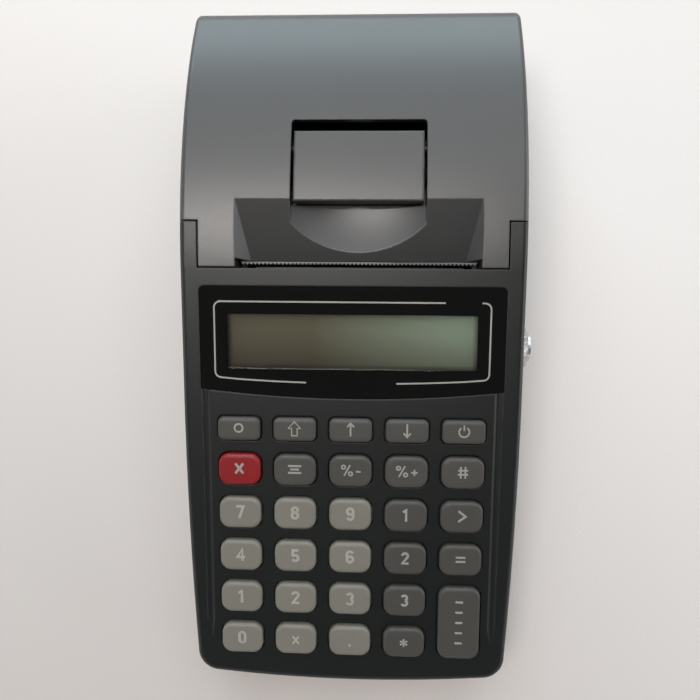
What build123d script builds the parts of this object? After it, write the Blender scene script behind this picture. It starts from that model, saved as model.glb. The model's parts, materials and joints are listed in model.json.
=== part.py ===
"""Handheld ticket register: a wedge-shaped case with a keyboard and a display in front and a
clamshell receipt printer behind, under a hinged lid that carries the platen and the paper cutter.

Frame: millimetres, +X to the right, +Y from the keyboard to the printer, +Z up. The origin is on
the table, under the middle of the case. "Run" is a distance up the keyboard slope from the front
edge, and "lift" is a height above that slope, measured square to it.
"""

import os
from math import acos, atan2, cos, degrees, pi, radians, sin, sqrt, tan

from build123d import *

os.makedirs("parts", exist_ok=True)

# ---- Case ---------------------------------------------------------------------------------
body_width = 90.5
body_length = 187.7
front_height = 21.68  # top of the front edge above the table
panel_slope = 12.0  # degrees
roof_start = 113.2  # level distance from the front edge to where the roof arc leaves the slope
roof_radius = 115.0
rear_round = 6.0  # roof to rear wall
edge_round = 1.5
base_round = 2.0
wall = 2.0
foot_height = 1.0
front_half_width = 42.8  # half width at the front corners
front_bow = 2.2  # how far the front edge bows forward
taper_length = 79.0  # stretch over which the sides draw in towards the front
front_corner = 6.0
seam_front_z = 12.0  # seam between the lower and the upper case, at the front
seam_rear_z = 26.0  # the same seam where it meets the lid
seam_gap = 0.3

# ---- Lid ----------------------------------------------------------------------------------
lid_front = 113.45  # level distance from the front edge of the case to the lid's front edge
lid_step = 125.35  # the same to where the lid grows to the full width
lid_tab_width = 80.4
lid_gap = 0.4
lid_skirt_corner = 6.0
tab_wall = 2.0
lid_tab_z = 36.3  # lower edge of the tab's walls
seat_thickness = 1.5  # frame of the case around the tab's seat
seat_bottom = 38.0
hinge_inset = 5.0  # hinge axis to the rear face
hinge_height = 30.0
hinge_clear = 0.35
hinge_pin_radius = 1.25
running_clearance = 0.05
pin_slack = 0.2  # end play of the hinge pins
pin_inset = 1.25  # outer end of the hinge pins, in from the side
hinge_boss_radius = 3.2
pin_overhang = 0.5  # inner end of the hinge pins, past the ear

# Paper exit: a tray sunk in the lid's front edge, off centre because the gears are on the left
mechanism_x = 1.5
exit_width = 64.2
exit_length = 15.35  # level length of the tray, from the blade end to its upper edge
exit_slope = 23.0  # degrees
exit_draft = 37.5  # lean of the tray's side walls, degrees
tray_lift = 0.3  # the tray's cutting shape starts above the roof
exit_lip = 2.2  # how far the tray ends behind the lid's front edge
pan_thickness = 2.0
scoop_radius = 45.0  # finger scoop, a round dish in the tray
scoop_inset = 5.25  # its middle ahead of the tray's upper edge
scoop_drop = 6.2  # its lowest point below that edge
scoop_floor = 1.9

# Lever
lever_width = 34.1
lever_length = 18.8
lever_side_gap = 0.65
lever_rear_gap = 3.0
opening_corner = 1.0
lever_lip = 3.6
lever_overhang = 0.75  # lip ahead of the tray's upper edge
lever_lip_length = 2.4
lever_hub_radius = 2.2
lever_opening_z = 6.0  # opening's floor under the lip, below the tray's upper edge
lever_pivot_inset = 3.4  # pivot ahead of the paddle's rear edge
lever_pivot_drop = 4.9  # pivot below the roof
lever_stub_radius = 1.2
lever_stub_length = 2.2
lever_arm = 1.6
lever_arm_height = 3.2
lever_shelf_drop = 3.4  # shelf under the lever, below the pivot
lever_shelf = 1.5
lever_ear = 2.0
cradle_half = 3.2
lever_edge = 0.6
spring_strip = 0.4
spring_inset = 0.5

# Cutter
blade_length = 62.6
blade_thickness = 0.5
blade_depth = 3.2
blade_reach = 0.8  # teeth past the tray's front end
blade_cover = 0.4  # below the tray's floor
tooth_pitch = 1.05
tooth_depth = 0.6

# ---- Keyboard -----------------------------------------------------------------------------
key_pitch_x = 15.0
key_pitch_run = 12.22
key_columns = 5
first_row_run = 12.66  # run to the middle of the lowest row
arrow_row_run = 72.76  # run to the middle of the short keys
key_width = 11.4
key_length = 8.6
short_key_length = 6.3
key_corner = 2.9
short_key_corner = 1.5
key_height = 1.5
key_edge = 0.7
key_gap = 0.4
key_flange = 0.7  # how far the flange reaches past the hole
flange_thickness = 1.0
flange_gap = 0.3
key_travel = 0.8
dome_radius = 2.6
dome_height = 1.0
mat_thickness = 1.0
board_thickness = 1.6
board_half_width = 39.6
board_corner = 3.0
board_start = 6.8  # run to the board's lower edge
board_end = 81.8
board_post_x = 38.6
board_post_radius = 1.4
mat_half_width = 37.0
mat_start = 7.0
mat_end = 77.5
dome_clear = 0.1
groove_radius = 1.5  # round grooves beside the keyboard
groove_depth = 0.5
groove_start = 18.0
groove_fade = 8.0  # stretch over which a groove runs out

# ---- Display ------------------------------------------------------------------------------
lens_half_width = 40.2
lens_top = 110.9
lens_side_bottom = 83.5
lens_bow = 2.34
lens_thickness = 1.5
lens_corner = 1.4
lens_gap = 0.12
lens_ledge = 1.5
lens_pad = 1.2  # frame under the lens, past its edge
window_width = 66.2
window_bottom = 88.95
window_height = 14.65
window_surround = 1.8
lcd_thickness = 2.0
lcd_gap = 0.1
lcd_board_thickness = 1.6
lcd_margin = 1.6  # glass past the window
lcd_board_half_width = 36.6
lcd_board_gap = 1.0
lcd_post_x = 36.0
lcd_post_radius = 1.0
lcd_post_inset = 2.0

# ---- Printer ------------------------------------------------------------------------------
platen_setback = 7.5  # platen axis behind the lid's front edge
platen_height = 33.5
platen_radius = 4.5
platen_length = 58.0
shaft_radius = 1.5
shaft_end = 0.3
bushing_radius = 3.0
frame_plate = 1.5
frame_side_gap = 1.5
frame_floor_z = 5.0
frame_front_run = 19.0  # frame front ahead of the platen axis
frame_rear_run = 7.0
frame_above_axis = 3.0
spring_room = 5.0  # behind the frame's front edge
arm_thickness = 1.4
arm_gap = 0.3
hanger_radius = 4.5
notch_relief = 0.45
gear_module = 0.5
gear_width = 3.0
gear_gap = 1.1  # gears to the lid's hanger
gear_backlash = 0.14
gear_room = 7.0
pressure_angle = 20.0
platen_teeth = 24
idler_teeth = 26
pinion_teeth = 14
idler_stud_radius = 1.2
idler_collar_radius = 2.2
pinion_shaft_radius = 1.0
pinion_angle = 207.0  # from the idler to the motor, degrees from +Y
motor_radius = 7.0
motor_length = 15.0
head_gap = 0.3
head_thickness = 4.0
head_bottom_z = 24.0
head_top_z = 35.0
head_chamfer = 0.8
head_spring_half = 3.5
head_width = 57.0
head_spring_strip = 0.4

# ---- Paper bay ----------------------------------------------------------------------------
roll_radius = 20.5
bay_width = 59.0
bay_wall = 1.5
deck_thickness = 2.0
deck_z = 26.0
deck_side_gap = 0.25
pad_width = 3.0
arm_reach = 8.0
arm_foot = 1.5
bay_gap = 2.0  # behind the printer frame
bay_hinge_gap = 6.75  # ahead of the hinge axis
cheek_radius = 17.0
ear_thickness = 3.0
ear_radius = 2.7
ear_side_gap = 2.75  # hinge ear to the case's wall

# ---- Battery, screws, feet, sockets -----------------------------------------------------------
cell_radius = 7.1
cell_length = 50.0
cell_count = 4
cell_pitch = 14.6
battery_inset = 58.95  # middle of the battery bay, behind the front edge
battery_slack = 0.6
contact_width = 8.0
contact_thickness = 0.4
cover_thickness = 1.6
cover_gap = 0.3
cover_ledge = 1.5
cover_corner = 1.0
foot_radius = 4.5
foot_sink = 0.8
foot_edge = 0.4
foot_inset_x = 11.0
foot_inset_y = 12.0
screw_radius = 1.3
screw_head_radius = 2.5
screw_head_height = 1.6
screw_slot = 0.6
screw_length = 12.0
boss_radius = 2.4  # screw bosses under the upper case
post_radius = 3.6  # screw posts on the lower case's floor
bay_boss_radius = 3.2
screw_sink = 2.0  # head above the case's underside
post_top = 13.0
screw_clear = 0.2
front_screw_side = 5.65  # inside the case's side
front_screw_inset = 83.45  # behind the case's front edge
rear_screw_side = 8.95
rear_screw_inset = 22.75  # ahead of the rear face
jack_inset = 94.45  # behind the front edge
jack_z = 28.5
jack_thread_radius = 3.9
jack_bore_radius = 3.0
jack_bore_depth = 9.5
jack_pin_radius = 1.05
jack_out = 3.4  # thread past the side of the case
jack_nut_thickness = 2.6
jack_nut_flats = 9.4
jack_block = 9.6
jack_shoulder = 1.0  # plain end of the thread inside the case
jack_pin_recess = 1.0
overlap = 0.1  # pieces of one solid run into each other

# ---- Derived places ---------------------------------------------------------------------------
slope = radians(panel_slope)
front_y = -body_length / 2
rear_y = body_length / 2
half_width = body_width / 2
front_screw_x = half_width - front_screw_side
rear_screw_x = half_width - rear_screw_side
roof_y = front_y + roof_start
roof_start_z = front_height + roof_start * tan(slope)
roof_centre_y = roof_y + roof_radius * sin(slope)
roof_centre_z = roof_start_z - roof_radius * cos(slope)
far = body_length  # longer than anything that it cuts


def roof_z(y):
    """Height of the roof arc at a distance y."""
    return roof_centre_z + sqrt(roof_radius**2 - (y - roof_centre_y) ** 2)


def panel_at(run, lift=0.0):
    """Y and Z of a point on the keyboard slope."""
    return (
        front_y + run * cos(slope) - lift * sin(slope),
        front_height + run * sin(slope) + lift * cos(slope),
    )


def panel_plane(run=0.0, lift=0.0):
    """A plane parallel to the keyboard slope, with its X along the case's width."""
    y, z = panel_at(run, lift)
    return Plane(origin=(0, y, z), x_dir=(1, 0, 0), z_dir=(0, -sin(slope), cos(slope)))


lid_front_y = front_y + lid_front
lid_step_y = front_y + lid_step
lid_half_tab = lid_tab_width / 2
lid_edge_z = seam_rear_z + lid_gap
hinge_y = rear_y - hinge_inset
tray_top_y = lid_front_y + exit_lip + exit_length
tray_top_z = roof_z(tray_top_y)
platen_y = lid_front_y + platen_setback
key_half_opening = key_gap + key_flange
battery_y = front_y + battery_inset
jack_y = front_y + jack_inset
frame_left = mechanism_x - platen_length / 2 - frame_side_gap - frame_plate
frame_right = mechanism_x + platen_length / 2 + frame_side_gap + frame_plate
hanger_left = frame_left - arm_gap - arm_thickness
hanger_right = frame_right + arm_gap + arm_thickness


def export(part, name):
    """Name a finished piece and write it."""
    part.label = name
    export_step(part, f"parts/{name}.step")


# ================================ CASE FORM =====================================================
def case_form(inset):
    """The whole closed body, drawn in by `inset` all round."""
    with BuildPart() as form:
        with BuildSketch(Plane.YZ):
            with BuildLine():
                Polyline(
                    (rear_y, roof_z(rear_y)),
                    (rear_y, foot_height),
                    (front_y, foot_height),
                    (front_y, front_height),
                    (roof_y, roof_start_z),
                )
                crown_y = (roof_y + rear_y) / 2
                ThreePointArc(
                    (roof_y, roof_start_z),
                    (crown_y, roof_z(crown_y)),
                    (rear_y, roof_z(rear_y)),
                )
            profile = make_face()
            fillet(profile.vertices().sort_by(Axis.Z)[-3:].sort_by(Axis.Y)[-1], rear_round)
            if inset:
                offset(amount=-inset, kind=Kind.INTERSECTION)
        extrude(amount=body_width, both=True)
        with BuildSketch() as plan:
            side, back = half_width - inset, rear_y - inset
            front, front_side = front_y + inset, front_half_width - inset
            corner_y = front + front_bow
            taper_y = front_y + front_bow + taper_length
            with BuildLine():
                Line((0, back), (side, back))
                Line((side, back), (side, taper_y))
                TangentArc((side, taper_y), (front_side, corner_y), tangent=(0, -1))
                ThreePointArc((front_side, corner_y), (0, front), (-front_side, corner_y))
                TangentArc((-side, taper_y), (-front_side, corner_y), tangent=(0, -1))
                Polyline((-side, taper_y), (-side, back), (0, back))
            make_face()
            fillet(plan.vertices().group_by(Axis.Y)[0], front_corner - inset)
        extrude(amount=far, mode=Mode.INTERSECT)
        if not inset:
            rim = form.edges().filter_by(lambda e: e.center().Z > seam_front_z)
            fillet(rim.filter_by(Axis.X, reverse=True), edge_round)
            fillet(form.edges().group_by(Axis.Z)[0], base_round)
    return form.part


# ---- Helpers that work in the part being built -------------------------------------------------
def cuboid(x, y, z, mode=Mode.ADD):
    """A box between (low, high) limits along each axis."""
    with Locations(((x[0] + x[1]) / 2, (y[0] + y[1]) / 2, (z[0] + z[1]) / 2)):
        Box(x[1] - x[0], y[1] - y[0], z[1] - z[0], mode=mode)


def bar_x(radius, x, y, z, mode=Mode.ADD):
    """A round bar along X between two X limits."""
    with Locations(((x[0] + x[1]) / 2, y, z)):
        Cylinder(radius, x[1] - x[0], rotation=(0, 90, 0), mode=mode)


def bar_z(radius, x, y, z, mode=Mode.ADD):
    """A round bar along Z between two Z limits."""
    with Locations((x, y, (z[0] + z[1]) / 2)):
        Cylinder(radius, z[1] - z[0], mode=mode)


def plate_x(points, x, mode=Mode.ADD):
    """A straight-edged plate, drawn in YZ, between two X limits."""
    with BuildSketch(Plane.YZ.offset(x[0])) as sketch:
        with BuildLine():
            Polyline(*points, close=True)
        make_face()
    extrude(sketch.sketch, amount=x[1] - x[0], mode=mode)


def form_slice(form, x, y, z):
    """The piece of a case form inside a box."""
    with BuildPart() as piece:
        add(form)
        cuboid(x, y, z, mode=Mode.INTERSECT)
    return piece.part


outer = case_form(0)
inner = case_form(wall)
slope_up = Axis((0, 0, 0), (0, -sin(slope), cos(slope)))
sides = (-1, 1)
full_width = (-half_width, half_width)


def seam_z(y):
    """Height of the seam between the two case halves, ahead of the lid."""
    return seam_front_z + (seam_rear_z - seam_front_z) * (y - front_y) / (lid_step_y - front_y)


def rounded_plate(width, length, corner, thickness, run, lift, x=0.0, mode=Mode.ADD):
    """A rounded rectangle on the slope, grown upwards from `lift`."""
    with BuildSketch(panel_plane(run, lift)) as sketch:
        with Locations((x, 0)):
            RectangleRounded(width, length, corner)
    extrude(sketch.sketch, amount=thickness, mode=mode)


# ================================ KEYBOARD ======================================================
# name, column, row, rows that it spans; row 0 is the lowest, row 5 is the row of short keys
key_plan = [
    ("key_clear", 0, 5, 1), ("key_shift", 1, 5, 1), ("key_up", 2, 5, 1),
    ("key_down", 3, 5, 1), ("key_power", 4, 5, 1),
    ("key_void", 0, 4, 1), ("key_price", 1, 4, 1), ("key_discount", 2, 4, 1),
    ("key_surcharge", 3, 4, 1), ("key_lookup", 4, 4, 1),
    ("key_7", 0, 3, 1), ("key_8", 1, 3, 1), ("key_9", 2, 3, 1),
    ("key_department_1", 3, 3, 1), ("key_payment", 4, 3, 1),
    ("key_4", 0, 2, 1), ("key_5", 1, 2, 1), ("key_6", 2, 2, 1),
    ("key_department_2", 3, 2, 1), ("key_subtotal", 4, 2, 1),
    ("key_1", 0, 1, 1), ("key_2", 1, 1, 1), ("key_3", 2, 1, 1),
    ("key_department_3", 3, 1, 1), ("key_total", 4, 0, 2),
    ("key_0", 0, 0, 1), ("key_times", 1, 0, 1), ("key_point", 2, 0, 1), ("key_star", 3, 0, 1),
]
arrow_row = 5


def key_place(column, row, rows):
    """X, run, length and corner radius of a key."""
    x = (column - (key_columns - 1) / 2) * key_pitch_x
    if row == arrow_row:
        return x, arrow_row_run, short_key_length, short_key_corner
    extra = (rows - 1) * key_pitch_run
    return x, first_row_run + row * key_pitch_run + extra / 2, key_length + extra, key_corner


flange_top = -wall - flange_gap
flange_bottom = flange_top - flange_thickness
dome_top = flange_bottom - key_travel - dome_clear
mat_top = dome_top - dome_height
mat_bottom = mat_top - mat_thickness
board_bottom = mat_bottom - board_thickness

for name, column, row, rows in key_plan:
    x, run, length, corner = key_place(column, row, rows)
    with BuildPart() as key:
        rounded_plate(key_width, length, corner, key_height - flange_top, run, flange_top, x)
        fillet(key.faces().sort_by(slope_up)[-1].edges(), key_edge)
        rounded_plate(
            key_width + 2 * key_half_opening,
            length + 2 * key_half_opening,
            corner + key_half_opening,
            flange_thickness,
            run,
            flange_bottom,
            x,
        )
    export(key.part, name)

with BuildPart() as keypad_mat:
    rounded_plate(
        2 * mat_half_width, mat_end - mat_start, key_corner, mat_thickness,
        (mat_start + mat_end) / 2, mat_bottom,
    )
    for _, column, row, rows in key_plan:
        x, run, _, _ = key_place(column, row, rows)
        for step in range(rows):
            centre = run + (step - (rows - 1) / 2) * key_pitch_run
            with BuildSketch(panel_plane(centre, mat_top)):
                with Locations((x, 0)):
                    Circle(dome_radius)
            extrude(amount=dome_height, taper=20)
export(keypad_mat.part, "keypad_mat")

with BuildPart() as main_board:
    rounded_plate(
        2 * board_half_width, board_end - board_start, board_corner, board_thickness,
        (board_start + board_end) / 2, board_bottom,
    )
export(main_board.part, "main_board")


# ================================ DISPLAY =======================================================
window_run = window_bottom + window_height / 2
lcd_top = -lens_thickness - lens_ledge - lcd_gap
lcd_bottom = lcd_top - lcd_thickness


def lens_outline(gap):
    """The display lens from above, with a bowed lower edge, grown by `gap` all round."""
    with BuildSketch() as sketch:
        with BuildLine():
            low, high = lens_side_bottom, lens_top
            Polyline(
                (-lens_half_width, low), (-lens_half_width, high),
                (lens_half_width, high), (lens_half_width, low),
            )
            ThreePointArc((lens_half_width, low), (0, low - lens_bow), (-lens_half_width, low))
        make_face()
        fillet(sketch.vertices().group_by(Axis.Y)[-1], lens_corner)
        if gap:
            offset(amount=gap)
    return sketch.sketch


with BuildPart() as display_lens:
    with BuildSketch(panel_plane(0, -lens_thickness)):
        add(lens_outline(0))
        with Locations((0, window_run)):
            Rectangle(window_width, window_height, mode=Mode.SUBTRACT)
    extrude(amount=lens_thickness)
export(display_lens.part, "display_lens")

with BuildPart() as display_window:
    with BuildSketch(panel_plane(0, -lens_thickness)):
        with Locations((0, window_run)):
            Rectangle(window_width, window_height)
    extrude(amount=lens_thickness)
export(display_window.part, "display_window")

with BuildPart() as lcd_glass:
    with BuildSketch(panel_plane(0, lcd_bottom)):
        with Locations((0, window_run)):
            Rectangle(window_width + 2 * lcd_margin, window_height + 2 * lcd_margin)
    extrude(amount=lcd_thickness)
export(lcd_glass.part, "lcd_glass")

lcd_board_low = board_end + lcd_board_gap
lcd_board_high = lens_top + lcd_board_gap
with BuildPart() as lcd_board:
    with BuildSketch(panel_plane(0, lcd_bottom - lcd_board_thickness)):
        with Locations((0, (lcd_board_low + lcd_board_high) / 2)):
            Rectangle(2 * lcd_board_half_width, lcd_board_high - lcd_board_low)
    extrude(amount=lcd_board_thickness)
export(lcd_board.part, "lcd_board")


# ================================ UPPER CASE ====================================================
seat_y = lid_front_y - lid_gap
seat_half = lid_half_tab + lid_gap
shoulder_rear_y = lid_step_y - lid_gap
high = (0, body_length)
front_screw_y = front_y + front_screw_inset
screw_head_z = foot_height + screw_sink
screw_seat_z = screw_head_z + screw_head_height
screw_tip_z = screw_seat_z + screw_length
beyond = (-body_width, body_width)

with BuildPart() as top_case:
    add(outer)
    seam_low = seam_z(front_y - wall) + seam_gap
    plate_x(
        [
            (front_y - wall, seam_low),
            (shoulder_rear_y, seam_z(shoulder_rear_y) + seam_gap),
            (shoulder_rear_y, body_width),
            (front_y - wall, body_width),
        ],
        beyond,
        mode=Mode.INTERSECT,
    )
    add(inner, mode=Mode.SUBTRACT)
    # frame around the seat of the lid's front tab, and the rear walls of the two shoulders
    add(
        form_slice(
            outer,
            (-seat_half - seat_thickness, seat_half + seat_thickness),
            (seat_y - seat_thickness, shoulder_rear_y),
            (seat_bottom, body_width),
        )
    )
    add(
        form_slice(
            outer,
            full_width,
            (shoulder_rear_y - seat_thickness, shoulder_rear_y),
            (seam_rear_z + seam_gap, body_width),
        )
    )
    cuboid((-seat_half, seat_half), (seat_y, rear_y), high, mode=Mode.SUBTRACT)
    # frame under the lens, then the lens seat and the display opening
    with BuildSketch(panel_plane(0, -lens_thickness - lens_ledge)):
        add(lens_outline(lens_pad))
    extrude(amount=lens_ledge)
    with BuildSketch(panel_plane(0, -lens_thickness)):
        add(lens_outline(lens_gap))
    extrude(amount=2 * lens_thickness, mode=Mode.SUBTRACT)
    with BuildSketch(panel_plane(window_run, 0)):
        Rectangle(window_width + 2 * window_surround, window_height + 2 * window_surround)
    extrude(amount=-wall - lens_ledge, mode=Mode.SUBTRACT)
    # round grooves beside the keyboard, which run out towards the front
    groove_x = lens_half_width - sqrt(2 * groove_radius * groove_depth - groove_depth**2)
    groove_y, groove_z = panel_at(groove_start, groove_radius - groove_depth)
    for side in sides:
        groove_end = Plane(
            origin=(side * groove_x, groove_y, groove_z),
            x_dir=(1, 0, 0),
            z_dir=(0, cos(slope), sin(slope)),
        )
        with BuildSketch(groove_end) as groove:
            Circle(groove_radius)
        extrude(amount=lens_side_bottom - groove_start, mode=Mode.SUBTRACT)
        extrude(
            groove.sketch, amount=-groove_fade, taper=degrees(atan2(groove_depth, groove_fade)),
            mode=Mode.SUBTRACT,
        )
    for _, column, row, rows in key_plan:
        x, run, length, corner = key_place(column, row, rows)
        rounded_plate(
            key_width + 2 * key_gap, length + 2 * key_gap, corner + key_gap,
            2 * wall, run, -1.5 * wall, x, mode=Mode.SUBTRACT,
        )
    # posts that the main board and the display board stand off from
    for run, post_x, low in (
        (first_row_run, board_post_x, mat_bottom),
        (arrow_row_run, board_post_x, mat_bottom),
        (lens_side_bottom + lcd_post_inset, lcd_post_x, lcd_bottom),
        (lens_top - lcd_post_inset, lcd_post_x, lcd_bottom),
    ):
        with BuildSketch(panel_plane(run, low)):
            with Locations((-post_x, 0), (post_x, 0)):
                Circle(lcd_post_radius if post_x == lcd_post_x else board_post_radius)
        extrude(amount=-wall - low + overlap)
    # screw bosses
    for side in sides:
        bar_z(
            boss_radius, side * front_screw_x, front_screw_y,
            (post_top, front_height + front_screw_inset * tan(slope) - 1.2 * wall),
        )
        bar_z(
            screw_radius, side * front_screw_x, front_screw_y, (post_top, screw_tip_z),
            mode=Mode.SUBTRACT,
        )
    bar_x(
        jack_thread_radius, (half_width - 2 * wall, half_width + wall), jack_y, jack_z,
        mode=Mode.SUBTRACT,
    )
export(top_case.part, "top_case")


# ================================ LOWER CASE ====================================================
rear_screw_y = rear_y - rear_screw_inset
bay_deck_half = half_width - wall - deck_side_gap
deck_start_y = platen_y + frame_rear_run + bay_gap
deck_end_y = hinge_y - bay_hinge_gap
battery_half_x = cell_count * cell_pitch / 2 + battery_slack
battery_half_y = cell_length / 2 + battery_slack
cover_top = foot_height + cover_thickness
ledge_z = cover_top + cover_gap
cell_z = ledge_z + cover_ledge + cell_radius
screw_places = [(side * front_screw_x, front_screw_y) for side in sides]
screw_places += [(side * rear_screw_x, rear_screw_y) for side in sides]
foot_places = [
    (x * (half_width - foot_inset_x), y * (rear_y - foot_inset_y)) for x in sides for y in sides
]
hinge_relief = hinge_inset + hinge_clear


def battery_box(grow, z, mode=Mode.ADD):
    """A box around the battery bay, larger by `grow` than the bay itself."""
    half_x = battery_half_x + grow
    half_y = battery_half_y + grow
    cuboid((-half_x, half_x), (battery_y - half_y, battery_y + half_y), z, mode=mode)


with BuildPart() as bottom_case:
    add(outer)
    plate_x(
        [
            (front_y - wall, 0),
            (front_y - wall, seam_z(front_y - wall)),
            (lid_step_y, seam_rear_z),
            (rear_y + wall, seam_rear_z),
            (rear_y + wall, 0),
        ],
        beyond,
        mode=Mode.INTERSECT,
    )
    add(inner, mode=Mode.SUBTRACT)
    # room for the hinge barrel of the lid, closed and open
    bar_x(hinge_relief, beyond, hinge_y, hinge_height, mode=Mode.SUBTRACT)
    cuboid(
        beyond, (hinge_y, far), (hinge_height - hinge_relief, 2 * hinge_height), mode=Mode.SUBTRACT
    )
    # battery bay with a ledge over the cover
    battery_box(2 * cover_ledge, (foot_height, ledge_z + cover_ledge))
    battery_box(cover_ledge, (foot_height, cell_z))
    battery_box(0, (0, 2 * cell_z), mode=Mode.SUBTRACT)
    battery_box(cover_ledge, (0, ledge_z), mode=Mode.SUBTRACT)
    # pads under the printer frame and the paper bay
    for pad_y in (platen_y - frame_front_run + pad_width, platen_y):
        cuboid((frame_left, frame_right), (pad_y, pad_y + pad_width), (foot_height, frame_floor_z))
    for side in sides:
        middle = side * (bay_deck_half - pad_width)
        cuboid(
            (middle - pad_width / 2, middle + pad_width / 2),
            (deck_start_y, deck_start_y + pad_width),
            (foot_height, deck_z - deck_thickness),
        )
    for x, y in screw_places:
        bar_z(post_radius, x, y, (foot_height, post_top))
        bar_z(screw_head_radius + screw_clear, x, y, (0, screw_seat_z), mode=Mode.SUBTRACT)
        bar_z(screw_radius + screw_clear, x, y, (0, post_top), mode=Mode.SUBTRACT)
    for x, y in foot_places:
        bar_z(foot_radius, x, y, (0, foot_height + foot_sink), mode=Mode.SUBTRACT)
export(bottom_case.part, "bottom_case")

with BuildPart() as battery_cover:
    battery_box(cover_ledge - cover_gap, (foot_height, cover_top))
    fillet(battery_cover.edges().filter_by(Axis.Z), cover_corner)
export(battery_cover.part, "battery_cover")

with BuildPart() as battery_cells:
    for index in range(cell_count):
        x = (index - (cell_count - 1) / 2) * cell_pitch
        with Locations((x, battery_y, cell_z)):
            Cylinder(cell_radius, cell_length, rotation=(90, 0, 0))
export(battery_cells.part, "battery_cells")

with BuildPart() as battery_contacts:
    for index in range(cell_count):
        x = (index - (cell_count - 1) / 2) * cell_pitch
        for side in sides:
            y = battery_y + side * (battery_half_y - contact_thickness / 2)
            with Locations((x, y, cell_z)):
                Box(contact_width, contact_thickness, contact_width)
export(battery_contacts.part, "battery_contacts")

with BuildPart() as feet:
    for x, y in foot_places:
        bar_z(foot_radius, x, y, (0, foot_height + foot_sink))
    fillet(feet.edges().group_by(Axis.Z)[0], foot_edge)
export(feet.part, "feet")

with BuildPart() as case_screws:
    for x, y in screw_places:
        bar_z(screw_head_radius, x, y, (screw_head_z, screw_seat_z))
        bar_z(screw_radius, x, y, (screw_seat_z, screw_tip_z))
        cross = (x - screw_slot / 2, x + screw_slot / 2), (y - screw_radius, y + screw_radius)
        cuboid(*cross, (screw_head_z, screw_head_z + screw_slot), mode=Mode.SUBTRACT)
        cross = (x - screw_radius, x + screw_radius), (y - screw_slot / 2, y + screw_slot / 2)
        cuboid(*cross, (screw_head_z, screw_head_z + screw_slot), mode=Mode.SUBTRACT)
export(case_screws.part, "case_screws")


# ================================ POWER INLET ===================================================
jack_end = half_width + jack_out
with BuildPart() as power_jack:
    bar_x(jack_thread_radius, (half_width - wall - jack_shoulder, jack_end), jack_y, jack_z)
    cuboid(
        (half_width - wall - jack_block, half_width - wall),
        (jack_y - jack_block / 2, jack_y + jack_block / 2),
        (jack_z - jack_block / 2, jack_z + jack_block / 2),
    )
    bar_x(
        jack_bore_radius, (jack_end - jack_bore_depth, jack_end), jack_y, jack_z,
        mode=Mode.SUBTRACT,
    )
    bar_x(
        jack_pin_radius, (jack_end - jack_bore_depth, jack_end - jack_pin_recess), jack_y, jack_z
    )
export(power_jack.part, "power_jack")

with BuildPart() as jack_nut:
    with BuildSketch(Plane.YZ.offset(half_width)):
        with Locations((jack_y, jack_z)):
            RegularPolygon(jack_nut_flats / 2, 6, major_radius=False)
            Circle(jack_thread_radius, mode=Mode.SUBTRACT)
    extrude(amount=jack_nut_thickness)
export(jack_nut.part, "jack_nut")


# ================================ PAPER BAY =====================================================
bay_left = mechanism_x - bay_width / 2
bay_right = mechanism_x + bay_width / 2
well_radius = roll_radius + bay_wall
roll_y = (deck_start_y + deck_end_y) / 2
ear_x = half_width - wall - ear_side_gap - ear_thickness  # inner face of each hinge ear
pin_end = half_width - pin_inset


def roll_room(radius, x, y):
    """Round room for the paper roll below the deck, between limits in X and Y."""
    with BuildPart() as room:
        bar_x(radius, x, roll_y, deck_z)
        cuboid(x, y, (0, deck_z), mode=Mode.INTERSECT)
    return room.part


with BuildPart() as well:
    cheeks = (bay_left - bay_wall, bay_right + bay_wall)
    add(roll_room(well_radius, cheeks, (deck_start_y, deck_end_y)))
    bar_x(cheek_radius, cheeks, roll_y, deck_z)

with BuildPart() as paper_bay:
    cuboid(
        (-bay_deck_half, bay_deck_half), (deck_start_y, deck_end_y), (deck_z - deck_thickness, deck_z)
    )
    add(well.part)
    bar_x(roll_radius, (bay_left, bay_right), roll_y, deck_z, mode=Mode.SUBTRACT)
    for side in sides:
        # arms that carry the hinge ears, and bosses for the rear case screws
        near = side * (ear_x + ear_thickness / 2)
        span = (near - ear_thickness / 2, near + ear_thickness / 2)
        plate_x(
            [
                (deck_end_y - arm_reach, deck_z - deck_thickness),
                (deck_end_y - arm_reach, deck_z),
                (deck_end_y - arm_reach / 2, hinge_height + ear_radius),
                (hinge_y, hinge_height + ear_radius),
                (hinge_y, hinge_height - ear_radius),
                (deck_end_y + arm_foot, hinge_height - ear_radius),
                (deck_end_y, deck_z - deck_thickness),
            ],
            span,
        )
        bar_x(ear_radius, span, hinge_y, hinge_height)
        bar_x(hinge_pin_radius, span, hinge_y, hinge_height, mode=Mode.SUBTRACT)
        bar_z(bay_boss_radius, side * rear_screw_x, rear_screw_y, (post_top, deck_z - overlap))
        bar_z(
            screw_radius, side * rear_screw_x, rear_screw_y, (post_top, screw_tip_z),
            mode=Mode.SUBTRACT,
        )
export(paper_bay.part, "paper_bay")

with BuildPart() as hinge_pins:
    for side in sides:
        ends = sorted((side * (ear_x - pin_overhang), side * pin_end))
        bar_x(hinge_pin_radius, ends, hinge_y, hinge_height)
export(hinge_pins.part, "hinge_pins")


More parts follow.
